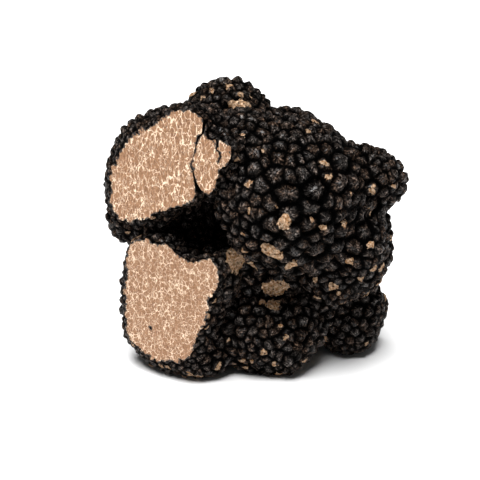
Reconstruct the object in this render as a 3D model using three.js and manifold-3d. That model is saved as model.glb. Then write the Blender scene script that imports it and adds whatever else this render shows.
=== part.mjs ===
// A black truffle, grown as one lobed piece and sliced once by a knife, in millimetres, +Z up.
// It stands on the flattened undersides of its lower lobes, with the origin at the centre of its base.

import * as THREE from 'three';
import { mergeVertices } from 'three/addons/utils/BufferGeometryUtils.js';
import Module from 'manifold-3d';

const wasm = await Module();
wasm.setup();

// ---- driving dimensions, in millimetres and degrees ----

const CENTRE = { x: -0.6, y: 0.1 }; // the middle of the grown lobes, moved onto the origin

const KNIFE = { yaw: 35, tilt: 4, distance: 26.5 }; // the flat slice that bares the flesh
const KNIFE_BLOCK = 200;
const SWELL = 4.5; // how far behind the slice a sliced lobe is widest
const LEAD = 5; // how far a sliced lobe reached in front of the slice

const LUMP = { height: 0.5, length: 13 }; // gentle unevenness of the lobes

const SPHERE_SIDES = 24;
const SLICED_SIDES = 34; // their outlines need more points
const SPHERE_RINGS = 14;
const WELD = 1e-4; // points closer than this are one

// Sliced lobes: where the middle of the face lies, the face's outline, and the lobe's outline where
// it is widest. Outlines are radii, evenly spaced anticlockwise from the face's right.
const SLICED_LOBES = [
  {
    x: -25, z: 55, depth: 18,
    face: [11.5, 13, 21, 17, 12, 10, 10.5, 11.5, 12.5, 15.5, 18.5, 15, 11, 9.5, 10.5, 13],
    widest: [13, 16, 20.5, 18.5, 15.5, 14.5, 15.5, 17, 18.5, 22, 24, 20, 14, 11.5, 12, 13],
  },
  {
    x: -22.5, z: 22, depth: 18,
    face: [
      13, 13.5, 18.5, 19.5, 13.5, 14.5, 15, 15, 17, 17.5, 15.5, 13.5,
      13.5, 14, 15, 17.5, 17.5, 17, 16.5, 15, 15, 13, 12, 12.5,
    ],
    widest: [12.5, 16, 19, 16.5, 16, 17, 18, 18.5, 19, 20.5, 22.5, 22.5, 22, 20, 15, 12.5],
  },
  {
    x: -11, z: 59.5, depth: 9,
    face: [3.5, 6, 7.5, 6, 6, 6, 6, 5.5, 5, 5.5, 6.5, 7.5, 7.5, 4, 2.5, 2.5],
    widest: [6, 8.5, 7, 7.5, 6, 7, 8.5, 5.5],
  },
];

// Whole lobes: centre and half sizes along x, y and z.
const LOBES = [
  { name: 'heart', at: [2, 7, 37], size: [25, 19, 30] },
  { name: 'great front', at: [8, -8.5, 48], size: [19.5, 19.5, 20] },
  { name: 'front shoulder', at: [-3, -7, 61], size: [10.5, 10.5, 9] },
  { name: 'crown', at: [-6.5, 6, 65], size: [11, 9.5, 9.6] },
  { name: 'crown bud', at: [0.5, 6, 65.5], size: [4.5, 5, 4.5] },
  { name: 'left waist', at: [-30, 4, 38], size: [9, 8, 8] },
  { name: 'right saddle', at: [23, -2, 51], size: [8, 9, 8] },
  { name: 'right bud', at: [29.3, -4, 50.3], size: [8.8, 9, 9.6] },
  { name: 'right middle', at: [20, -1, 33.5], size: [15.5, 15, 17] },
  { name: 'right foot', at: [25.2, 6, 10.5], size: [9.6, 12, 11.5] },
  { name: 'front foot', at: [3.5, -6, 10.5], size: [15, 12, 12] },
  { name: 'foot bridge', at: [16.5, 1, 17], size: [8, 9, 10.5] },
  { name: 'right cheek', at: [24, -9, 36], size: [9, 9, 10] },
  { name: 'sliced foot', at: [-15.5, -11.5, 6.5], size: [9, 6.5, 7] },
  { name: 'left back', at: [-16, 14, 41], size: [15, 13, 17] },
  { name: 'left back foot', at: [-14, 9, 14.5], size: [15, 14, 15] },
  { name: 'back foot', at: [2, 15, 14], size: [14, 13, 14.5] },
  { name: 'back right', at: [18, 15, 28], size: [14, 12, 14] },
  { name: 'back top', at: [8, 14, 48], size: [17, 14, 16] },
];

// The dark hollow between the two sliced lobes, and the cleft between the upper faces.
const HOLLOW = { at: [-13, -11, 40], size: [8.5, 15, 7], lean: -6 };
const CLEFT = { at: [-15, 58], length: 14, width: 0.7, depth: 5, lean: 4 };

// ---- solids ----

const knifeYaw = THREE.MathUtils.degToRad(KNIFE.yaw);
const knifeTilt = THREE.MathUtils.degToRad(KNIFE.tilt);
const knifeNormal = new THREE.Vector3(
  -Math.sin(knifeYaw) * Math.cos(knifeTilt),
  -Math.cos(knifeYaw) * Math.cos(knifeTilt),
  Math.sin(knifeTilt),
);
const alongFace = new THREE.Vector3(Math.cos(knifeYaw), -Math.sin(knifeYaw), 0);
const upFace = new THREE.Vector3().crossVectors(alongFace, knifeNormal).negate();
const faceAxes = new THREE.Matrix4().makeBasis(alongFace, upFace, knifeNormal);

function onKnifePlane(x, z) {
  const y = (KNIFE.distance - knifeNormal.x * x - knifeNormal.z * z) / knifeNormal.y;
  return new THREE.Vector3(x, y, z);
}

function solidOf(geometry) {
  const bare = geometry.clone();
  bare.deleteAttribute('normal');
  bare.deleteAttribute('uv');
  const merged = mergeVertices(bare, WELD);
  return new wasm.Manifold(new wasm.Mesh({
    numProp: 3,
    vertProperties: merged.attributes.position.array,
    triVerts: new Uint32Array(merged.index.array),
  }));
}

function geometryOf(solid) {
  const mesh = solid.getMesh();
  const geometry = new THREE.BufferGeometry();
  geometry.setAttribute('position', new THREE.BufferAttribute(mesh.vertProperties, 3));
  geometry.setIndex(new THREE.BufferAttribute(mesh.triVerts, 1));
  geometry.computeVertexNormals();
  return geometry;
}

function movePoints(geometry, moved) {
  const points = geometry.attributes.position;
  const point = new THREE.Vector3();
  for (let i = 0; i < points.count; i += 1) {
    point.fromBufferAttribute(points, i);
    moved(point);
    points.setXYZ(i, point.x, point.y, point.z);
  }
  return geometry;
}

function addLumps(point, centre) {
  const wave = (2 * Math.PI) / LUMP.length;
  const lump = Math.sin(point.x * wave) * Math.sin(point.y * wave + 1) * Math.sin(point.z * wave + 2);
  const outward = point.clone().sub(centre).normalize();
  point.addScaledVector(outward, LUMP.height * lump);
}

// A smooth closed curve through evenly spaced radii.
function radiusAt(radii, turn) {
  const place = (turn / (2 * Math.PI)) * radii.length;
  const first = Math.floor(place);
  const part = place - first;
  const near = (step) => radii[(((first + step) % radii.length) + radii.length) % radii.length];
  const rise = near(1) - near(-1);
  const bend = 2 * near(-1) - 5 * near(0) + 4 * near(1) - near(2);
  const twist = 3 * (near(0) - near(1)) + near(2) - near(-1);
  return near(0) + 0.5 * part * (rise + part * (bend + part * twist));
}

function wholeLobe({ at, size }) {
  const centre = new THREE.Vector3(...at);
  const geometry = new THREE.SphereGeometry(1, SPHERE_SIDES, SPHERE_RINGS);
  geometry.rotateX(Math.PI / 2);
  geometry.scale(...size);
  geometry.translate(...at);
  return solidOf(movePoints(geometry, (point) => addLumps(point, centre)));
}

// A lobe that met the knife: its section follows one outline at the face and another where it is
// widest, SWELL behind the face, and it closes as a half ellipsoid, depth further back.
function slicedLobe({ x, z, depth, face, widest }) {
  const faceHeight = SWELL / (SWELL + LEAD);
  const faceReach = Math.sqrt(1 - faceHeight * faceHeight);
  const geometry = new THREE.SphereGeometry(1, SLICED_SIDES, SPHERE_RINGS);
  geometry.rotateX(Math.PI / 2);
  movePoints(geometry, (point) => {
    const turn = Math.atan2(point.y, point.x);
    const reach = Math.hypot(point.x, point.y);
    const wide = radiusAt(widest, turn);
    let radius = wide * reach;
    if (point.z > 0) {
      const closing = point.z < faceHeight ? point.z / faceHeight : reach / faceReach;
      radius += (radiusAt(face, turn) - wide * faceReach) * closing;
    }
    const ahead = point.z > 0 ? (SWELL + LEAD) * point.z : depth * point.z;
    point.set(radius * Math.cos(turn), radius * Math.sin(turn), ahead - SWELL);
  });
  const onPlane = onKnifePlane(x, z);
  geometry.applyMatrix4(faceAxes);
  geometry.translate(onPlane.x, onPlane.y, onPlane.z);
  return solidOf(geometry);
}

function hollow() {
  const geometry = new THREE.SphereGeometry(1, SPHERE_SIDES, SPHERE_RINGS);
  geometry.scale(...HOLLOW.size);
  geometry.rotateX(THREE.MathUtils.degToRad(HOLLOW.lean));
  geometry.rotateZ(-knifeYaw);
  geometry.translate(...HOLLOW.at);
  return solidOf(geometry);
}

// A thin wedge, widest at the face, between the two upper faces.
function cleft() {
  const half = CLEFT.width / 2;
  const outline = new THREE.Shape();
  outline.moveTo(-half, 0);
  outline.lineTo(0, -CLEFT.depth);
  outline.lineTo(half, 0);
  outline.lineTo(half, CLEFT.width);
  outline.lineTo(-half, CLEFT.width);
  outline.closePath();
  const geometry = new THREE.ExtrudeGeometry(outline, { depth: CLEFT.length, bevelEnabled: false });
  geometry.translate(0, 0, -CLEFT.length / 2);
  geometry.rotateX(Math.PI / 2);
  geometry.rotateZ(THREE.MathUtils.degToRad(CLEFT.lean));
  geometry.applyMatrix4(faceAxes);
  const onPlane = onKnifePlane(...CLEFT.at);
  geometry.translate(onPlane.x, onPlane.y, onPlane.z);
  return solidOf(geometry);
}

// Everything in front of the slice.
function knife() {
  const geometry = new THREE.BoxGeometry(KNIFE_BLOCK, KNIFE_BLOCK, KNIFE_BLOCK);
  geometry.translate(0, 0, KNIFE_BLOCK / 2 + KNIFE.distance);
  geometry.applyMatrix4(faceAxes);
  return solidOf(geometry);
}

// Everything under the surface that the truffle rests on.
function ground() {
  const geometry = new THREE.BoxGeometry(KNIFE_BLOCK, KNIFE_BLOCK, KNIFE_BLOCK);
  geometry.translate(0, 0, -KNIFE_BLOCK / 2);
  return solidOf(geometry);
}

function truffle() {
  let body = slicedLobe(SLICED_LOBES[0]);
  for (const lobe of SLICED_LOBES.slice(1)) body = body.add(slicedLobe(lobe));
  for (const lobe of LOBES) body = body.add(wholeLobe(lobe));
  for (const cutter of [hollow(), cleft(), knife(), ground()]) body = body.subtract(cutter);
  return body.translate([-CENTRE.x, -CENTRE.y, 0]);
}

const material = new THREE.MeshStandardMaterial({ color: 0x1c1714, roughness: 0.6, metalness: 0 });

const mesh = new THREE.Mesh(geometryOf(truffle()), material);
mesh.name = 'truffle';

const group = new THREE.Group();
group.add(mesh);

export default group;
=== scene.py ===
"""A black truffle with a warty skin, sliced flat on one side to bare its marbled flesh.

Everything is in metres, +Z up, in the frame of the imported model. Sizes are given in millimetres
and turned into metres by MM.
"""

import math
import random

import bpy
import bmesh
import numpy as np
from mathutils import Matrix, Vector, geometry, kdtree, noise


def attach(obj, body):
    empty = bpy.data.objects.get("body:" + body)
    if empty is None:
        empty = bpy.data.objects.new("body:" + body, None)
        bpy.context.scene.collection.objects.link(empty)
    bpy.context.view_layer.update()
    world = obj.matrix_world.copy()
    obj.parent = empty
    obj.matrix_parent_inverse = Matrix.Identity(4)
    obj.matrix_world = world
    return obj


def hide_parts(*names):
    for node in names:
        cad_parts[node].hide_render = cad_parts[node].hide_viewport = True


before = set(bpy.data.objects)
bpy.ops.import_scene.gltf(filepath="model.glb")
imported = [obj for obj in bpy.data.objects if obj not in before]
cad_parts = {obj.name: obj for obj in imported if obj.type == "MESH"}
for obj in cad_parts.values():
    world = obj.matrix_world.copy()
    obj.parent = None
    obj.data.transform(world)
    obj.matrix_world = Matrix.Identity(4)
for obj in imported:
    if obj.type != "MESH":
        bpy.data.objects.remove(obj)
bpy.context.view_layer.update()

MM = 0.001

# ---- the body, in millimetres and degrees ----

CENTRE = Vector((-0.6, 0.1, 0))  # the middle of the grown lobes, moved onto the origin
KNIFE_YAW, KNIFE_TILT = 35, 4  # how far the slice is turned to the left, and leans back
KNIFE_DISTANCE = 26.5  # from the origin of the lobes' layout to the slice
SWELL = 4.5  # how far behind the slice a sliced lobe is widest
LEAD = 5  # how far a sliced lobe reached in front of the slice

# Sliced lobes: where the middle of the face lies, how deep the lobe goes, the face's outline, and
# the lobe's outline where it is widest. Outlines are radii, evenly spaced anticlockwise from the
# face's right.
SLICED_LOBES = {
    "upper": ((-25, 55), 18,
              [11.5, 13, 21, 17, 12, 10, 10.5, 11.5, 12.5, 15.5, 18.5, 15, 11, 9.5, 10.5, 13],
              [13, 16, 20.5, 18.5, 15.5, 14.5, 15.5, 17, 18.5, 22, 24, 20, 14, 11.5, 12, 13]),
    "lower": ((-22.5, 22), 18,
              [13, 13.5, 18.5, 19.5, 13.5, 14.5, 15, 15, 17, 17.5, 15.5, 13.5,
               13.5, 14, 15, 17.5, 17.5, 17, 16.5, 15, 15, 13, 12, 12.5],
              [12.5, 16, 19, 16.5, 16, 17, 18, 18.5, 19, 20.5, 22.5, 22.5, 22, 20, 15, 12.5]),
    "small": ((-11, 59.5), 9,
              [3.5, 6, 7.5, 6, 6, 6, 6, 5.5, 5, 5.5, 6.5, 7.5, 7.5, 4, 2.5, 2.5],
              [6, 8.5, 7, 7.5, 6, 7, 8.5, 5.5]),
}

# Whole lobes: centre and half sizes along x, y and z.
LOBES = {
    "heart": ((2, 7, 37), (25, 19, 30)),
    "great_front": ((8, -8.5, 48), (19.5, 19.5, 20)),
    "front_shoulder": ((-3, -7, 61), (10.5, 10.5, 9)),
    "crown": ((-6.5, 6, 65), (11, 9.5, 9.6)),
    "crown_bud": ((0.5, 6, 65.5), (4.5, 5, 4.5)),
    "left_waist": ((-30, 4, 38), (9, 8, 8)),
    "right_saddle": ((23, -2, 51), (8, 9, 8)),
    "right_bud": ((29, -4, 50.3), (8.5, 9, 9.6)),
    "right_middle": ((20, -1, 33.5), (15.5, 15, 17)),
    "right_foot": ((25.2, 6, 10.5), (9.6, 12, 11.5)),
    "front_foot": ((3.5, -6, 10.5), (15, 12, 12)),
    "foot_bridge": ((16.5, 1, 17), (8, 9, 10.5)),
    "right_cheek": ((24, -9, 36), (9, 9, 10)),
    "sliced_foot": ((-15.5, -11.5, 6.5), (9, 6.5, 7)),
    "left_back": ((-16, 14, 41), (15, 13, 17)),
    "left_back_foot": ((-14, 9, 14.5), (15, 14, 15)),
    "back_foot": ((2, 15, 14), (14, 13, 14.5)),
    "back_right": ((18, 15, 28), (14, 12, 14)),
    "back_top": ((8, 14, 48), (17, 14, 16)),
}
HOLLOW = ((-13, -11, 40), (8.5, 15, 7), -6)  # centre, half sizes, lean

# ---- the skin, in millimetres ----

BODY_VOXEL, WART_VOXEL, LAST_VOXEL = ((0.7, 0.28, 0.27))
TRIANGLES = 209000  # of the warty skin, before it is sliced
CREASE_ROUNDS = 6  # of smoothing, where lobes meet
SWELLS = (1.3, 9.5)  # height and length of the lobes' unevenness
LEAST_SWELL, SWELL_DEPTH = 0.3, 8  # the share of it at the slice, and how deep it is whole
FRONT_CALM = 0.55  # the share of it that the great front lobe loses

# Where the warts differ: each with the place where that starts, and how far on it is in full.
FRONT_REACH, FRONT_FADE = 1.16, -0.14  # the great front lobe, in shares of its half sizes
LARGE_RIGHT_OF, LARGE_BELOW, LARGE_FADE = -6, 65, 8  # the largest warts on that lobe
LOW_BELOW, LOW_FADE = 52, 15  # the more worn skin low down
LOW_LARGE = 0.8  # the share of that wear that the largest warts are spared

WART_PITCH = (2.5, 4.1)  # from wart to wart, on most lobes and where the warts are largest
PITCH_SPREAD = (0.6, 1.45)
RIM_SHRINK = 0.3  # the share of the pitch that warts lose near the slice
RIM_REACH, RIM_FADE = 4, -2  # where that starts, and how far on it is in full
SCATTER_SEED = 7
NEIGHBOURS = 8  # how many warts around a point are looked at
TINY = 1e-6  # a length to divide by instead of 0
APART = 40  # between places in the noise that have nothing in common

EDGE_BENDS = ((0.5, 2.1, 3), (0.18, 0.8, 9))  # height, length and shift of the noise in wart edges
GROOVE_DEPTH = (0.46, 0.42)  # of the pitch, on most lobes and where the warts are largest
RIM_GROOVE, GROOVE_FADE = 0.75, 12  # the share of it at the slice, and how slowly that grows to 1
CROWNING = (1.8, 1.4)  # 1 for pointed warts, 2 for cushions, on the same two
DOME_REACH = 0.55  # of the pitch, from a wart's edge to the top of its dome
STAND = 0.17  # of the pitch, how much higher or lower a wart may stand
WART_SEED = 11
PLEAT_FINENESS, PLEAT_DEPTH = 2.3, 0.75  # of a wart's sides, the depth as a share of the pitch
PLEAT_SHIFT = 3.7  # from wart to wart, so that no two are pleated alike
GRAIN_SIZE, GRAIN_HEIGHT = 0.85, 0.22
GRAIN_EDGE = 0.75  # of a grain's size, from its middle to where it ends
PATCH_LENGTH = 0.9  # of the noise that roughens worn and bare places
WORN_SHARE = (0.03, 0.13)  # of the warts, high up and low down
WORN_TOP = 0.8  # of a dome, where a worn wart ends
WORN_FROM, WORN_FADE = 0.74, 0.1  # of a dome, where a worn wart's flesh starts to show
WORN_RAGGED = 0.35  # how much noise is in that
UNWORN_REACH = 13  # around the middle of the hollow, where no wart is worn
BARE_LEVEL, BARE_UNEVEN = -0.25, 0.3  # of the flesh where the skin is knocked off
BARE_BENDS = (0.7, 1.1, 21)  # height, length and shift of the noise in its outline
BARE_OUTLINE, BARE_FADE = 1.1, 0.4  # of a patch's half sizes, and in millimetres
SKIN_LIFT = 0.3  # how far the warts' tops stand out from the lobes
SKIN_REACH = 0.5  # a point further than this from the grown skin is inside a cleft or the bore

# Where the skin is knocked off and flesh shows: place, half width, half height, and lean in
# degrees.
BARE_PATCHES = [
    ((-4, -14.5, 33.5), 3, 4, 0),
    ((-0.5, -15, 32.5), 1, 3, 30),
    ((7, -28, 47.5), 1.6, 2, -20),
    ((4, -25.5, 39), 2.8, 1.7, -35),
    ((9, -22, 35), 1.7, 1, 35),
    ((5.5, -10, 24), 3.4, 2.3, 0),
    ((5, -12.5, 20), 1.8, 1.3, 0),
    ((9, -20, 14), 0.9, 0.6, 0),
    ((-3.5, -2, 69.5), 2.5, 1, -5),
    ((-6, 1.5, 73.5), 1.1, 0.7, 0),
    ((-3.5, -0.5, 72), 0.8, 0.6, 0),
    ((-0.5, 0.5, 71.5), 0.7, 0.5, 0),
    ((-3, -16.5, 65.5), 0.9, 0.5, 0),
    ((2.5, -19.5, 63), 0.8, 0.5, 20),
    ((-4, -21.5, 61), 0.8, 0.6, 0),
    ((-1.5, -25, 49.5), 0.6, 1, 30),
    ((5, -27.5, 51.5), 0.6, 0.5, 0),
    ((13.5, -27.5, 48), 0.7, 0.9, 0),
    ((16.5, -26, 45.5), 1.1, 0.6, 20),
    ((22, -22, 45), 0.9, 1.1, 0),
    ((23, -21, 52.5), 0.6, 1.1, 10),
    ((29, -11.5, 45), 0.5, 1.4, 20),
    ((34.5, -11.5, 51), 0.8, 0.6, 0),
    ((24, -15.5, 34), 1.2, 1, 0),
    ((28.5, -13.5, 32), 1, 1, 0),
    ((26.5, -14, 28.5), 1, 0.8, 20),
    ((20, -14, 25), 1.3, 0.9, 0),
    ((15.5, -14, 27), 0.9, 0.7, 40),
    ((-22, -15, 3.5), 0.8, 0.6, 0),
    ((-16.5, -16, 1.5), 0.8, 0.6, 0),
]


def mm(*values):
    return Vector(values) * MM


def deselect():
    bpy.ops.object.select_all(action="DESELECT")


def activate(piece):
    deselect()
    piece.select_set(True)
    bpy.context.view_layer.objects.active = piece


def apply_modifier(piece, kind, **settings):
    activate(piece)
    modifier = piece.modifiers.new(kind.title(), kind)
    for name, value in settings.items():
        setattr(modifier, name, value)
    bpy.ops.object.modifier_apply(modifier=modifier.name)


def remesh(piece, voxel):
    apply_modifier(piece, "REMESH", mode="VOXEL", voxel_size=voxel * MM, use_smooth_shade=True)


def points_of(piece, kind="vertices", field="co"):
    rows = getattr(piece.data, kind)
    values = np.empty(len(rows) * 3, dtype=np.float32)
    rows.foreach_get(field, values)
    return values.reshape(-1, 3).astype(np.float64)


def put_points(piece, points):
    piece.data.vertices.foreach_set("co", points.astype(np.float32).ravel())
    piece.data.update()


def normals_of(piece):
    return points_of(piece, "vertex_normals", "vector")


def rising(values, start, width):
    """0 up to start, and from there up to 1 over width. A negative width runs the other way."""
    return np.clip((values - start) / width, 0, 1)


def between(pair, share):
    """From the pair's first value to its second as share goes from 0 to 1."""
    return pair[0] + (pair[1] - pair[0]) * share


def noise_at(points, length):
    return np.array([noise.noise(Vector(point) / (length * MM)) for point in points])


def tree_of(points):
    """For finding the nearest of the points."""
    tree = kdtree.KDTree(len(points))
    for i, point in enumerate(points):
        tree.insert(point, i)
    tree.balance()
    return tree


# ---- the slice ----

yaw = math.radians(KNIFE_YAW)
tilt = math.radians(KNIFE_TILT)
knife_normal = Vector((
    -math.sin(yaw) * math.cos(tilt), -math.cos(yaw) * math.cos(tilt), math.sin(tilt)))
along_face = Vector((math.cos(yaw), -math.sin(yaw), 0))
up_face = along_face.cross(knife_normal) * -1
knife_point = knife_normal * (KNIFE_DISTANCE * MM) - CENTRE * MM


def on_knife_plane(x, z):
    y = (KNIFE_DISTANCE - knife_normal.x * x - knife_normal.z * z) / knife_normal.y
    return mm(x, y, z) - CENTRE * MM


def behind_slice(points):
    """How many millimetres each point lies behind the slice."""
    return (np.array(knife_point) - points) @ np.array(knife_normal) / MM


# ---- growing the lobes ----

def radius_at(radii, turn):
    """A smooth closed curve through evenly spaced radii."""
    place = (turn % (2 * math.pi)) / (2 * math.pi) * len(radii)
    first = math.floor(place)
    part = place - first
    before, near, after, beyond = (radii[(first + step) % len(radii)] for step in (-1, 0, 1, 2))
    bend = 2 * before - 5 * near + 4 * after - beyond
    twist = 3 * (near - after) + beyond - before
    return near + 0.5 * part * (after - before + part * (bend + part * twist))


def whole_lobe(name, at, size):
    deselect()
    bpy.ops.mesh.primitive_ico_sphere_add(
        subdivisions=5, radius=1, location=mm(*at) - CENTRE * MM, scale=mm(*size))
    lobe = bpy.context.object
    lobe.name = name
    bpy.ops.object.transform_apply(location=True, rotation=True, scale=True)
    return lobe


def sliced_lobe(name, middle, depth, face, widest):
    """Its section follows one outline at the face and another where it is widest, SWELL behind the
    face, and it closes as a half ellipsoid, depth further back."""
    deselect()
    bpy.ops.mesh.primitive_uv_sphere_add(segments=72, ring_count=40, radius=1)
    lobe = bpy.context.object
    lobe.name = name
    centre = on_knife_plane(*middle)
    face_height = SWELL / (SWELL + LEAD)
    face_reach = math.sqrt(1 - face_height ** 2)
    for vertex in lobe.data.vertices:
        x, y, z = vertex.co
        turn = math.atan2(y, x)
        reach = math.hypot(x, y)
        wide = radius_at(widest, turn)
        radius = wide * reach
        if z > 0:
            closing = z / face_height if z < face_height else reach / face_reach
            radius += (radius_at(face, turn) - wide * face_reach) * closing
        ahead = ((SWELL + LEAD) if z > 0 else depth) * z - SWELL
        across = along_face * math.cos(turn) + up_face * math.sin(turn)
        vertex.co = centre + (across * radius + knife_normal * ahead) * MM
    return lobe


def join(pieces, name):
    activate(pieces[0])
    for piece in pieces:
        piece.select_set(True)
    bpy.ops.object.join()
    body = bpy.context.object
    body.name = name
    return body


def cut_with(body, cutter):
    apply_modifier(body, "BOOLEAN", operation="DIFFERENCE", object=cutter, solver="EXACT")
    bpy.data.objects.remove(cutter)


def grow_body():
    lobes = [sliced_lobe(name, *facts) for name, facts in SLICED_LOBES.items()]
    lobes += [whole_lobe(name, *facts) for name, facts in LOBES.items()]
    body = join(lobes, "truffle_body")
    remesh(body, BODY_VOXEL)
    at, size, lean = HOLLOW
    hollow = whole_lobe("hollow", at, size)
    turned = Matrix.Rotation(-yaw, 4, "Z") @ Matrix.Rotation(math.radians(lean), 4, "X")
    middle = mm(*at) - CENTRE * MM
    hollow.data.transform(Matrix.Translation(middle) @ turned @ Matrix.Translation(-middle))
    cut_with(body, hollow)
    apply_modifier(body, "SMOOTH", factor=0.5, iterations=CREASE_ROUNDS)
    height, length = SWELLS
    points = points_of(body)
    normals = normals_of(body)
    swell = noise_at(points, length)
    calm = np.clip(behind_slice(points) / SWELL_DEPTH, LEAST_SWELL, 1)
    calm *= 1 - FRONT_CALM * front_share(points)
    put_points(body, points + normals * (swell * calm * height * MM)[:, None])
    return body


# ---- warts ----

def front_share(points):
    """1 on the great front lobe, fading to 0 on its neighbours."""
    at, size = LOBES["great_front"]
    away = (points - np.array(mm(*at) - CENTRE * MM)) / (np.array(size) * MM)
    return rising(np.linalg.norm(away, axis=1), FRONT_REACH, FRONT_FADE)


def large_share(points):
    """1 where the warts are largest, on the great front lobe but not at its top and left."""
    x, z = points[:, 0] / MM, points[:, 2] / MM
    right = rising(x, LARGE_RIGHT_OF, LARGE_FADE)
    return front_share(points) * right * rising(z, LARGE_BELOW, -LARGE_FADE)


def low_share(points):
    """1 low down, where more warts are worn, and 0 high up and on the largest warts."""
    low = rising(points[:, 2] / MM, LOW_BELOW, -LOW_FADE)
    return low * (1 - LOW_LARGE * large_share(points))


def in_the_way(point, pitch, other_point, other_pitch):
    gap = 0.5 * (pitch + other_pitch)
    dx, dy, dz = (point[k] - other_point[k] for k in range(3))
    return dx * dx + dy * dy + dz * dz < gap * gap


def scatter_warts(body):
    """Wart centres over the whole skin, each with its own pitch. They are kept in bins as wide as
    the widest pitch, so that each is only tried against those around it."""
    chance = random.Random(SCATTER_SEED)
    points = points_of(body)
    share = large_share(points)
    by_rim = 1 - RIM_SHRINK * rising(np.abs(behind_slice(points)), RIM_REACH, RIM_FADE)
    order = list(range(len(points)))
    chance.shuffle(order)
    bin_size = WART_PITCH[1] * PITCH_SPREAD[1] * MM
    around = [(a, b, c) for a in (-1, 0, 1) for b in (-1, 0, 1) for c in (-1, 0, 1)]
    bins, warts = {}, []
    for i in order:
        point = points[i]
        pitch = between(WART_PITCH, share[i])
        pitch *= chance.uniform(*PITCH_SPREAD) * by_rim[i] * MM
        column, row, layer = (int(math.floor(value / bin_size)) for value in point)
        keys = ((column + a, row + b, layer + c) for a, b, c in around)
        near = (wart for key in keys for wart in bins.get(key, ()))
        if not any(in_the_way(point, pitch, *wart) for wart in near):
            warts.append((point, pitch))
            bins.setdefault((column, row, layer), []).append(warts[-1])
    centres, pitches = zip(*warts)
    return np.array(centres), np.array(pitches)


def wart_facts(points, centres, pitches):
    """For each point: its wart, how far it is in from the wart's edge, and from its centre."""
    tree = tree_of(centres)
    near = np.array([[hit[1] for hit in tree.find_n(point, NEIGHBOURS)] for point in points])
    # weighted so that a wart with a wide pitch takes more room
    away = ((points[:, None, :] - centres[near]) ** 2).sum(axis=2) - (0.5 * pitches[near]) ** 2
    rank = np.argsort(away, axis=1)
    near = np.take_along_axis(near, rank, axis=1)
    away = np.take_along_axis(away, rank, axis=1)
    own = near[:, 0]
    apart = np.linalg.norm(centres[near[:, 1:]] - centres[own][:, None, :], axis=2)
    edge = ((away[:, 1:] - away[:, :1]) / (2 * apart)).min(axis=1)
    return own, edge, points - centres[own]


def warp(points, height, length, shift):
    """Pushes points about by noise. The three ways use the same noise, read at places far apart."""
    places = [Vector(point) / (length * MM) for point in points]
    ways = [Vector((shift, 0, 0)), Vector((0, shift + APART, 0)), Vector((0, 0, shift + 2 * APART))]
    moved = [[noise.noise(place + way) for place in places] for way in ways]
    return np.array(moved).T * height * MM


def bare_share(points):
    """1 where the skin is knocked off, with ragged edges, and 0 where it is whole."""
    tree = tree_of(points)
    ragged = points + warp(points, *BARE_BENDS)
    share = np.zeros(len(points))
    for at, half_width, half_height, lean in BARE_PATCHES:
        middle = np.array(tree.find(mm(*at))[0])
        away = (ragged - middle) / MM
        turn = math.radians(lean)
        across = away[:, 0] * math.cos(turn) + away[:, 2] * math.sin(turn)
        up = away[:, 2] * math.cos(turn) - away[:, 0] * math.sin(turn)
        reach = np.sqrt((across / half_width) ** 2 + (up / half_height) ** 2
                        + (away[:, 1] / max(half_width, half_height)) ** 2)
        patch = np.clip((BARE_OUTLINE - reach) * half_width / BARE_FADE, 0, 1)
        share = np.maximum(share, patch)
    return share


def granules(points, size):
    """Rounded grains of about that size: 1 on top of each and 0 between them."""
    gaps = [noise.voronoi(Vector(point) / (size * MM))[0][0] for point in points]
    return 1 - np.clip(np.array(gaps) / GRAIN_EDGE, 0, 1) ** 2


def pick_worn(centres, chance):
    """Which warts are worn: more of them low down, and none in the hollow."""
    share = between(WORN_SHARE, low_share(centres))
    away = centres - np.array(mm(*HOLLOW[0]) - CENTRE * MM)
    in_hollow = np.linalg.norm(away, axis=1) < UNWORN_REACH * MM
    return (chance.uniform(0, 1, len(centres)) < share) & ~in_hollow


def raise_warts(body, centres, pitches):
    """Gives every wart its dome, pleats and grains, with grooves between them, and sinks the bare
    places. Returns the skin's points, and what each knows of its wart."""
    points = points_of(body)
    normals = normals_of(body)
    bent = points
    for bend in EDGE_BENDS:
        bent = bent + warp(points, *bend)
    own, edge, offset = wart_facts(bent, centres, pitches)
    chance = np.random.default_rng(WART_SEED)
    stand = chance.uniform(-STAND, STAND, len(centres))
    tone = chance.uniform(0, 1, len(centres))
    worn = pick_worn(centres, chance)[own]
    pitch = pitches[own]
    large = large_share(points)
    depth = between(GROOVE_DEPTH, large)
    depth *= np.clip(RIM_GROOVE + behind_slice(points) / GROOVE_FADE, RIM_GROOVE, 1)
    inward = rising(edge, 0, DOME_REACH * pitch)
    dome = 1 - (1 - inward) ** between(CROWNING, large)
    turned = offset / np.maximum(np.linalg.norm(offset, axis=1), TINY)[:, None]
    ways = turned * PLEAT_FINENESS + own[:, None] * PLEAT_SHIFT
    pleats = np.array([noise.noise(Vector(way)) for way in ways])
    patchy = noise_at(points, PATCH_LENGTH)
    worn_off = worn * rising(dome + WORN_RAGGED * patchy, WORN_FROM, WORN_FADE)
    height = np.where(worn, np.minimum(dome, WORN_TOP), dome)
    lift = (height - 1) * depth * pitch + height * stand[own] * pitch
    lift += pleats * inward * (1 - inward) * PLEAT_DEPTH * pitch
    lift += granules(points, GRAIN_SIZE) * inward * GRAIN_HEIGHT * MM
    bare = bare_share(points)
    flat = BARE_LEVEL * MM + BARE_UNEVEN * patchy * MM
    lift += (flat - lift) * bare
    lift += SKIN_LIFT * MM
    points = points + normals * lift[:, None]
    points[:, 2] = np.maximum(points[:, 2], 0)
    put_points(body, points)
    return points, {
        "wart_height": dome,
        "wart_tone": tone[own],
        "wart_offset": offset / pitch[:, None],
        "bare_flesh": np.maximum(bare, worn_off),
    }


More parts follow.
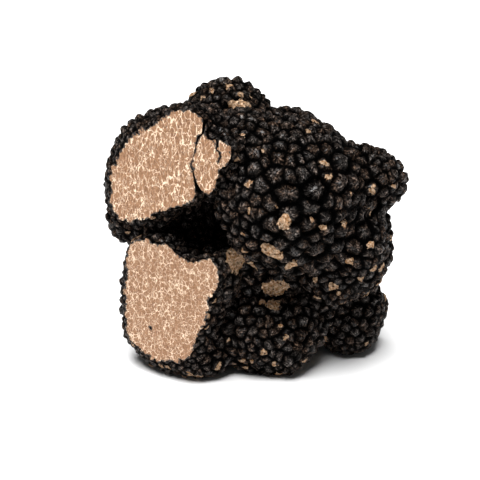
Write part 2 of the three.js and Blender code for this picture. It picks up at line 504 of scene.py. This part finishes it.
def keep_skin_facts(body, facts):
    """Gives the finished mesh what its nearest skin point knew of its wart. The walls of the clefts
    and the bore, which no skin point is near, count as the bottom of a groove, and so take its
    painted shade, black."""
    known, values = facts
    tree = tree_of(known)
    found = [tree.find(point) for point in points_of(body)]
    nearest = np.array([hit[1] for hit in found])
    on_skin = np.array([hit[2] for hit in found]) < SKIN_REACH * MM
    for name, column in values.items():
        kind, field = ("FLOAT_VECTOR", "vector") if column.ndim > 1 else ("FLOAT", "value")
        layer = body.data.attributes.new(name, kind, "POINT")
        column = column[nearest] * (on_skin[:, None] if column.ndim > 1 else on_skin)
        layer.data.foreach_set(field, column.astype(np.float32).ravel())


# ---- the slice's flat faces ----

# Dark gaps in the upper faces, as wedges: where they run on the slice, as x, z and half width, and
# their depth.
CLEFTS = [
    ([(-12.5, 69.5, 0.9), (-13, 66.5, 0.6), (-14, 65.5, 0.7), (-14.5, 64, 0.35),
      (-15, 61.5, 0.2), (-15.5, 60, 0.15), (-16, 58, 0.25), (-15.5, 57, 0.35),
      (-15, 54.5, 0.6), (-14, 51.5, 2.2)], 5),
    ([(-9.5, 66, 1.2), (-9.5, 64, 0.5), (-9.7, 63.4, 0.35), (-9, 62.6, 0.55), (-8.7, 61.8, 0.4),
      (-9, 61, 0.45), (-9.4, 60.3, 0.1)], 2.5),
]
CLEFT_FLOOR = 0.25  # of its width at the face, at its bottom
OVERREACH = 2  # how far in front of the lobes a cleft starts
BORE = ((-27, 13.5), 0.45, 1.6)  # a small hole in the lower face: x and z, radius, depth
BORE_STRETCH = 1.3  # how much wider it is than high
FACE_STEP = 0.9  # between the points that fill a face
FACE_SWAY = 0.3  # of a step, so that they don't stand in rows
FACE_SEED = 5
RIM_CLEARANCE = 0.55  # of a step, between them and the rim
WELD = 1e-7  # points closer than this are one


def slice_off(body):
    """Takes off what was in front of the knife and leaves the cut open."""
    activate(body)
    bpy.ops.object.mode_set(mode="EDIT")
    bpy.ops.mesh.select_all(action="SELECT")
    bpy.ops.mesh.bisect(
        plane_co=knife_point, plane_no=knife_normal, clear_outer=True, threshold=WELD)
    bpy.ops.object.mode_set(mode="OBJECT")


def keep_largest(body):
    """Drops loose crumbs that the cutting leaves."""
    activate(body)
    bpy.ops.mesh.separate(type="LOOSE")
    crumbs = sorted(bpy.context.selected_objects, key=lambda piece: len(piece.data.vertices))
    largest = crumbs.pop()
    for crumb in crumbs:
        bpy.data.objects.remove(crumb)
    return largest


def thin(body, triangles):
    apply_modifier(body, "TRIANGULATE")
    share = min(1, triangles / len(body.data.polygons))
    apply_modifier(body, "DECIMATE", decimate_type="COLLAPSE", ratio=share)


def cleft(path, depth):
    """A thin crooked wedge, widest at the face."""
    deselect()
    bpy.ops.mesh.primitive_grid_add(x_subdivisions=1, y_subdivisions=len(path) - 1, size=1)
    wedge = bpy.context.object
    bpy.ops.object.mode_set(mode="EDIT")
    bpy.ops.mesh.select_all(action="SELECT")
    bpy.ops.mesh.extrude_region_move(TRANSFORM_OT_translate={"value": (0, 0, -1)})
    bpy.ops.object.mode_set(mode="OBJECT")
    for vertex in wedge.data.vertices:
        x, z, half = path[round((0.5 - vertex.co.y) * (len(path) - 1))]
        side = 1 if vertex.co.x > 0 else -1
        deep = vertex.co.z < -0.5
        across = along_face * side * half * (CLEFT_FLOOR if deep else 1) * MM
        ahead = knife_normal * (-depth if deep else LEAD + OVERREACH) * MM
        vertex.co = on_knife_plane(x, z) + across + ahead
    activate(wedge)
    bpy.ops.object.mode_set(mode="EDIT")
    bpy.ops.mesh.select_all(action="SELECT")
    bpy.ops.mesh.normals_make_consistent(inside=False)
    bpy.ops.object.mode_set(mode="OBJECT")
    return wedge


def bore():
    place, radius, depth = BORE
    deselect()
    bpy.ops.mesh.primitive_ico_sphere_add(subdivisions=3, radius=1)
    drill = bpy.context.object
    turned = knife_normal.to_track_quat("Z", "Y").to_matrix().to_4x4()
    squeezed = Matrix.Diagonal(
        (radius * BORE_STRETCH * MM, radius * MM, (depth + LEAD) * MM, 1))
    middle = on_knife_plane(*place) + knife_normal * LEAD * MM
    drill.data.transform(Matrix.Translation(middle) @ turned @ squeezed)
    return drill


def inside_outline(points, starts, ends):
    """Even-odd test of flat points against the outline's edges."""
    x, y = points[:, :1], points[:, 1:]
    rises = (starts[:, 1] > y) != (ends[:, 1] > y)
    height = ends[:, 1] - starts[:, 1]
    height = np.where(height == 0, 1, height)
    crossing = starts[:, 0] + (y - starts[:, 1]) / height * (ends[:, 0] - starts[:, 0])
    return (rises & (x < crossing)).sum(axis=1) % 2 == 1


def flatten(point):
    """Its place along and up the slice, in millimetres."""
    away = point - knife_point
    return (away.dot(along_face) / MM, away.dot(up_face) / MM)


def distance_to(flat_rim, place):
    return np.sqrt(((flat_rim - place) ** 2).sum(axis=1).min())


def filling_points(flat_rim, starts, stops):
    """Flat points all over the faces, a step apart but not in rows."""
    low, high = flat_rim.min(axis=0), flat_rim.max(axis=0)
    across = np.arange(low[0], high[0], FACE_STEP)
    up = np.arange(low[1], high[1], FACE_STEP)
    grid = np.stack(np.meshgrid(across, up), axis=-1).reshape(-1, 2)
    chance = np.random.default_rng(FACE_SEED)
    grid += chance.uniform(-FACE_SWAY, FACE_SWAY, grid.shape) * FACE_STEP
    to_rim = np.array([distance_to(flat_rim, place) for place in grid])
    return grid[inside_outline(grid, starts, stops) & (to_rim > RIM_CLEARANCE * FACE_STEP)]


def face_slice(body):
    """Closes the cut with small even triangles, and keeps how far each of their points is from the
    rim."""
    mesh = bmesh.new()
    mesh.from_mesh(body.data)
    rim_distance = mesh.verts.layers.float.new("rim_distance")
    rim_edges = [edge for edge in mesh.edges if edge.is_boundary]
    rim = list(dict.fromkeys(vertex for edge in rim_edges for vertex in edge.verts))
    number = {vertex: i for i, vertex in enumerate(rim)}
    flat_rim = np.array([flatten(vertex.co) for vertex in rim])
    ends = np.array([[number[vertex] for vertex in edge.verts] for edge in rim_edges])
    starts, stops = flat_rim[ends[:, 0]], flat_rim[ends[:, 1]]
    places = np.vstack([flat_rim, filling_points(flat_rim, starts, stops)])
    flat_points, _, triangles, sources, *_ = geometry.delaunay_2d_cdt(
        [Vector(place) for place in places], [tuple(pair) for pair in ends.tolist()], [], 0, WELD)
    middles = [np.mean([flat_points[i] for i in triangle], axis=0) for triangle in triangles]
    kept = inside_outline(np.array(middles), starts, stops)
    corners = {}
    for triangle in (triangle for triangle, keep in zip(triangles, kept) if keep):
        for i in triangle:
            if i in corners:
                continue
            source = sources[i][0] if sources[i] else len(rim)
            if source < len(rim):
                corners[i] = rim[source]
            else:
                x, y = flat_points[i]
                corners[i] = mesh.verts.new(knife_point + (along_face * x + up_face * y) * MM)
                corners[i][rim_distance] = distance_to(flat_rim, (x, y))
        face = mesh.faces.new([corners[i] for i in triangle])
        face.normal_update()
        if face.normal.dot(knife_normal) < 0:
            face.normal_flip()
        face.material_index = 1
    for edge in rim_edges:
        edge.smooth = False
    mesh.to_mesh(body.data)
    mesh.free()


# ---- finishes ----

FLESH_TAN = (0.34, 0.172, 0.081, 1)
FLESH_DEEP = (0.16, 0.069, 0.028, 1)
VEIN_CREAM = (0.9, 0.7, 0.51, 1)
FLECK_BROWN = (0.12, 0.05, 0.025, 1)
RIM_DARK = (0.012, 0.008, 0.006, 1)
# Painted shade on the skin runs from SKIN_BLACK in its grooves, pits and pleats up to SKIN_TOP or
# SKIN_BROWN, the warts' own grey and brown, at their tops.
SKIN_BLACK = (0.0004, 0.0003, 0.0003, 1)
SKIN_TOP = (0.37, 0.32, 0.29, 1)
SKIN_BROWN = (0.36, 0.23, 0.16, 1)
BARE_TAN = (0.85, 0.6, 0.4, 1)
BARE_OCHRE = (0.45, 0.23, 0.1, 1)
WHITE = (1, 1, 1, 1)

UPPER_MARBLE = ((1, 1, 0.55), 1.25, 0.03)  # its stretch, vein scale and vein width
LOWER_MARBLE = ((1, 1, 0.85), 1.45, 0.032)
BARE_MARBLE = ((1, 1, 1), 1.4, 0.06)
BETWEEN_FACES = (0.034, 0.042)  # in metres, where one marbling gives way to the other
LOWER_DEEPER = 0.16  # how much of the deep tan the lower face has over all
RIM_WANDER = -3.6  # added to the distance from the rim, times the noise
RIM_LINE = (-1.7, -1.5)  # where that sum leaves the dark line
FLESH_BUMP, SKIN_BUMP = 0.12, 0.4  # heights in millimetres
WART_TURN = 40  # sets the pleats of one wart apart from another's


def node(tree, kind, values=None, **settings):
    """A node with its settings, and with each named input set to a value or wired to an output."""
    made = tree.nodes.new("ShaderNode" + kind)
    for name, value in settings.items():
        setattr(made, name, value)
    for name, value in (values or {}).items():
        if isinstance(value, bpy.types.NodeSocket):
            tree.links.new(value, made.inputs[name])
        else:
            made.inputs[name].default_value = value
    return made


def math_node(tree, operation, *values):
    return node(tree, "Math", dict(enumerate(values)), operation=operation).outputs[0]


def vector_node(tree, operation, values):
    return node(tree, "VectorMath", values, operation=operation).outputs[0]


def noise_node(tree, where, scale, detail, roughness=0.5):
    return node(tree, "TexNoise", {
        "Vector": where, "Scale": scale, "Detail": detail, "Roughness": roughness}).outputs["Fac"]


def ramp(tree, value, low, high, start=0.0, stop=1.0):
    """From start to stop, smoothly, while value goes from low to high."""
    made = node(tree, "MapRange", {
        "Value": value, "From Min": low, "From Max": high, "To Min": start, "To Max": stop,
    }, interpolation_type="SMOOTHSTEP")
    return made.outputs["Result"]


def mixed(tree, share, first, second):
    """The first colour where share is 0, and the second where it is 1."""
    return node(tree, "Mix", {"Factor": share, 6: first, 7: second}, data_type="RGBA").outputs[2]


def fact(tree, name, field="Fac"):
    return node(tree, "Attribute", attribute_name=name).outputs[field]


def bumped(tree, shader, height, strength, distance):
    bump = node(tree, "Bump", {"Height": height, "Strength": strength, "Distance": distance * MM})
    tree.links.new(bump.outputs[0], shader.inputs["Normal"])


def new_material(name):
    material = bpy.data.materials.new(name)
    material.use_nodes = True
    return material, material.node_tree, material.node_tree.nodes["Principled BSDF"]


def new_group(name, inputs, outputs):
    tree = bpy.data.node_groups.new(name, "ShaderNodeTree")
    for socket_name, kind, value in inputs:
        socket = tree.interface.new_socket(socket_name, in_out="INPUT", socket_type=kind)
        if value is not None:
            socket.default_value = value
    for socket_name, kind in outputs:
        tree.interface.new_socket(socket_name, in_out="OUTPUT", socket_type=kind)
    return tree, tree.nodes.new("NodeGroupInput"), tree.nodes.new("NodeGroupOutput")


def in_millimetres(tree, place, stretch=(1, 1, 1)):
    return vector_node(tree, "MULTIPLY", {0: place, 1: [factor / MM for factor in stretch]})


def wandering(tree, where, scale, reach):
    """A place pushed about by noise, so that straight patterns turn crooked."""
    sway = node(tree, "TexNoise", {"Vector": where, "Scale": scale, "Detail": 2.0})
    centred = vector_node(tree, "SUBTRACT", {0: sway.outputs["Color"], 1: (0.5, 0.5, 0.5)})
    pushed = vector_node(tree, "SCALE", {0: centred, "Scale": reach})
    return vector_node(tree, "ADD", {0: where, 1: pushed})


def net_of_lines(tree, where, scale, width):
    """1 on the thin walls of a net of cells, 0 inside them. The width is a share of a cell."""
    net = node(tree, "TexVoronoi", {"Vector": where, "Scale": scale}, feature="DISTANCE_TO_EDGE")
    return ramp(tree, math_node(tree, "DIVIDE", net.outputs["Distance"], width), 0.6, 1.1, 1.0, 0.0)


def marbling_group():
    """The flesh: tan ground with a maze of thin cream veins, cream blots and dark flecks."""
    tree, given, out = new_group(
        "marbled_flesh",
        [("Position", "NodeSocketVector", None), ("Vein Scale", "NodeSocketFloat", 1.0),
         ("Vein Width", "NodeSocketFloat", 0.1)],
        [("Colour", "NodeSocketColor"), ("Height", "NodeSocketFloat")])
    where, vein_width = given.outputs["Position"], given.outputs["Vein Width"]
    sized = vector_node(tree, "SCALE", {0: where, "Scale": given.outputs["Vein Scale"]})
    bent = wandering(tree, wandering(tree, sized, 0.6, 1.7), 2.3, 0.75)
    # wider in some places and broken off in others, with finer lines across
    swelling = ramp(tree, noise_node(tree, where, scale=0.55, detail=3), 0.4, 0.6, 0.25, 1.6)
    vein = net_of_lines(tree, bent, 0.56, math_node(tree, "MULTIPLY", vein_width, swelling))
    broken = ramp(tree, noise_node(tree, where, scale=0.9, detail=2), 0.49, 0.58, 0.03, 1.1)
    cross = net_of_lines(tree, bent, 1.05, math_node(tree, "MULTIPLY", vein_width, broken))
    cross = math_node(tree, "MULTIPLY", cross, 0.85)
    blots = ramp(tree, noise_node(tree, where, scale=0.62, detail=4, roughness=0.65), 0.69, 0.71)
    veins = math_node(tree, "MAXIMUM", math_node(tree, "MAXIMUM", vein, cross), blots)
    grain = noise_node(tree, bent, scale=2.2, detail=3, roughness=0.7)
    ground = mixed(tree, ramp(tree, grain, 0.36, 0.62), FLESH_DEEP, FLESH_TAN)
    marbled = mixed(tree, veins, ground, VEIN_CREAM)
    flecks = ramp(tree, noise_node(tree, where, scale=1.25, detail=1), 0.72, 0.76, 0.0, 0.8)
    tree.links.new(mixed(tree, flecks, marbled, FLECK_BROWN), out.inputs["Colour"])
    height = math_node(tree, "MULTIPLY_ADD", grain, 0.5, veins)
    tree.links.new(height, out.inputs["Height"])
    return tree


def marble(tree, place, stretch, scale, width):
    """Marbling in its own stretch, fineness and width of veins."""
    return node(tree, "Group", {
        "Position": in_millimetres(tree, place, stretch), "Vein Scale": scale, "Vein Width": width,
    }, node_tree=marbling).outputs


def flesh_finish():
    """The cut faces: long open veins above, a finer maze below, and a thin ragged dark line where
    the skin was cut through."""
    material, tree, shader = new_material("marbled_flesh")
    place = node(tree, "TexCoord").outputs["Object"]
    upper = marble(tree, place, *UPPER_MARBLE)
    lower = marble(tree, place, *LOWER_MARBLE)
    rise = node(tree, "SeparateXYZ", {0: place}).outputs["Z"]
    below = mixed(tree, LOWER_DEEPER, lower["Colour"], FLESH_DEEP)
    both = mixed(tree, ramp(tree, rise, *BETWEEN_FACES), below, upper["Colour"])
    ragged = noise_node(tree, place, scale=0.9 / MM, detail=4, roughness=0.7)
    from_rim = math_node(tree, "MULTIPLY_ADD", ragged, RIM_WANDER, fact(tree, "rim_distance"))
    colour = mixed(tree, ramp(tree, from_rim, *RIM_LINE), RIM_DARK, both)
    tree.links.new(colour, shader.inputs["Base Color"])
    shader.inputs["Roughness"].default_value = 0.62
    bumped(tree, shader, upper["Height"], 0.3, FLESH_BUMP)
    return material


def skin_finish():
    """Near-black warts with painted shade: black in the grooves, pits and pleats and between
    grains, and lighter towards the top of each wart. Slightly glossy on top, granular, split by
    fine pleats that run out from the top of each, and tan where the skin is worn or knocked off."""
    material, tree, shader = new_material("warty_skin")
    place = node(tree, "TexCoord").outputs["Object"]
    where = in_millimetres(tree, place)
    height = fact(tree, "wart_height")
    tone = fact(tree, "wart_tone")
    # read in the direction from a wart's middle, noise makes rays
    outward = vector_node(tree, "NORMALIZE", {0: fact(tree, "wart_offset", "Vector")})
    own_turn = vector_node(tree, "SCALE", {0: tone, "Scale": WART_TURN})
    rays_at = vector_node(tree, "ADD", {0: outward, 1: own_turn})
    rays = noise_node(tree, rays_at, scale=2.3, detail=3, roughness=0.65)
    from_crease = math_node(tree, "ABSOLUTE", math_node(tree, "SUBTRACT", rays, 0.5))
    pleats = ramp(tree, from_crease, 0.015, 0.12)
    grains = node(tree, "TexVoronoi", {"Vector": where, "Scale": 1.5}, feature="F1")
    grain = ramp(tree, grains.outputs["Distance"], 0.25, 0.8, 1.0, 0.0)
    pits = ramp(tree, noise_node(tree, where, scale=1.5, detail=3, roughness=0.7), 0.4, 0.56)
    mottled = noise_node(tree, where, scale=0.45, detail=3)
    # painted shade: each wart darkens down its sides to black in the grooves, and darkens in its
    # pits, its pleats and the gaps between grains
    risen = math_node(tree, "MULTIPLY_ADD", mottled, 0.8, height)
    shade = ramp(tree, risen, 0.6, 1.45)
    for hollows, darkest in ((pits, 0.08), (pleats, 0.1), (grain, 0.35)):
        shade = math_node(tree, "MULTIPLY", shade, ramp(tree, hollows, 0.0, 1.0, darkest, 1.0))
    browned = ramp(tree, math_node(tree, "MULTIPLY_ADD", tone, 0.25, mottled), 0.5, 0.8)
    skin = mixed(tree, shade, SKIN_BLACK, mixed(tree, browned, SKIN_TOP, SKIN_BROWN))

    torn = noise_node(tree, where, scale=1, detail=4, roughness=0.75)
    bare = math_node(tree, "MULTIPLY_ADD", torn, 1.6, fact(tree, "bare_flesh"))
    bare = ramp(tree, bare, 1.18, 1.3)
    veined = marble(tree, place, *BARE_MARBLE)["Colour"]
    stained = noise_node(tree, where, scale=0.8, detail=4, roughness=0.7)
    stained = ramp(tree, stained, 0.35, 0.6, 0.3, 1.0)
    bare_colour = mixed(tree, stained, veined, mixed(tree, grain, BARE_OCHRE, BARE_TAN))
    specks = ramp(tree, noise_node(tree, where, scale=1.7, detail=2), 0.6, 0.66)
    bare_colour = mixed(tree, specks, bare_colour, SKIN_BLACK)
    tree.links.new(mixed(tree, bare, skin, bare_colour), shader.inputs["Base Color"])

    shader.inputs["Roughness"].default_value = 0.55
    shader.inputs["Specular IOR Level"].default_value = 0.02
    shader.inputs["Coat Roughness"].default_value = 0.3
    glint = noise_node(tree, where, scale=0.9, detail=3, roughness=0.7)
    glint = ramp(tree, glint, 0.48, 0.62, 0.0, 0.5)
    on_top = ramp(tree, math_node(tree, "SUBTRACT", height, bare), 0.35, 0.85)
    tree.links.new(math_node(tree, "MULTIPLY", glint, on_top), shader.inputs["Coat Weight"])
    relief = math_node(tree, "MULTIPLY_ADD", pleats, 0.9, grain)
    relief = math_node(tree, "MULTIPLY_ADD", pits, 0.8, relief)
    bumped(tree, shader, relief, 1.0, SKIN_BUMP)
    return material


# ---- floor, light and camera ----

CAMERA_TURN, CAMERA_RISE, CAMERA_AWAY = 0, 20, 340  # degrees, degrees, millimetres
CAMERA_AIM = (-3.5, -6.1, 35.2)
CAMERA_LENS, CAMERA_SENSOR = 100, 36
CAMERA_NEAREST = 0.01  # metres
KEY_FROM = (-0.1, -0.26, 0.95)
KEY_STRENGTH, KEY_WIDTH = 6.8, 40  # the width in degrees, for soft shadows
FILL = 0.09  # how bright the white surroundings are, as light
FLOOR_SIZE = 3  # metres
FLOOR_PALE, FLOOR_ROUGHNESS = (0.9, 0.9, 0.9, 1), 0.9


def pale_floor():
    deselect()
    bpy.ops.mesh.primitive_plane_add(size=FLOOR_SIZE, location=(0, 0, 0))
    floor = bpy.context.object
    floor.name = "floor"
    material, _, shader = new_material("pale_floor")
    shader.inputs["Base Color"].default_value = FLOOR_PALE
    shader.inputs["Roughness"].default_value = FLOOR_ROUGHNESS
    floor.data.materials.append(material)


def add_key_light():
    sun = bpy.data.lights.new("soft_key", "SUN")
    sun.energy = KEY_STRENGTH
    sun.angle = math.radians(KEY_WIDTH)
    lamp = bpy.data.objects.new("soft_key", sun)
    bpy.context.scene.collection.objects.link(lamp)
    lamp.rotation_euler = Vector(KEY_FROM).to_track_quat("Z", "Y").to_euler()


def surround_with_white():
    """White to look at, but only a faint fill as light."""
    scene = bpy.context.scene
    scene.view_settings.view_transform = "Standard"
    world = bpy.data.worlds.new("studio")
    world.use_nodes = True
    tree = world.node_tree
    shown = tree.nodes["Background"]
    shown.inputs["Strength"].default_value = 1
    shown.inputs["Color"].default_value = WHITE
    fill = node(tree, "Background", {"Color": WHITE, "Strength": FILL})
    seen = node(tree, "LightPath").outputs["Is Camera Ray"]
    mix = node(tree, "MixShader", {"Fac": seen, 1: fill.outputs[0], 2: shown.outputs[0]})
    tree.links.new(mix.outputs[0], tree.nodes["World Output"].inputs["Surface"])
    scene.world = world


def add_camera():
    scene = bpy.context.scene
    turn, rise = math.radians(CAMERA_TURN), math.radians(CAMERA_RISE)
    back = Vector((
        math.sin(turn) * math.cos(rise), -math.cos(turn) * math.cos(rise), math.sin(rise)))
    view = bpy.data.cameras.new("camera")
    view.lens = CAMERA_LENS
    view.sensor_width = CAMERA_SENSOR
    view.clip_start = CAMERA_NEAREST
    camera = bpy.data.objects.new("camera", view)
    scene.collection.objects.link(camera)
    camera.location = mm(*CAMERA_AIM) + back * CAMERA_AWAY * MM
    camera.rotation_euler = (-back).to_track_quat("-Z", "Y").to_euler()
    scene.camera = camera


# ---- making the truffle ----

marbling = marbling_group()
body = grow_body()
centres, pitches = scatter_warts(body)
remesh(body, WART_VOXEL)
skin_facts = raise_warts(body, centres, pitches)
remesh(body, LAST_VOXEL)
thin(body, TRIANGLES)
gaps = [cleft(path, depth) for path, depth in CLEFTS] + [bore()]
cut_with(body, join(gaps, "gaps"))
slice_off(body)
apply_modifier(body, "TRIANGULATE")
body.data.materials.clear()
body.data.materials.append(skin_finish())
body.data.materials.append(flesh_finish())
activate(body)
bpy.ops.object.shade_smooth()
face_slice(body)
body = keep_largest(body)
keep_skin_facts(body, skin_facts)
body.name = "truffle_skin_and_flesh"
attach(body, "root")
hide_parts("truffle")
pale_floor()
add_key_light()
surround_with_white()
add_camera()
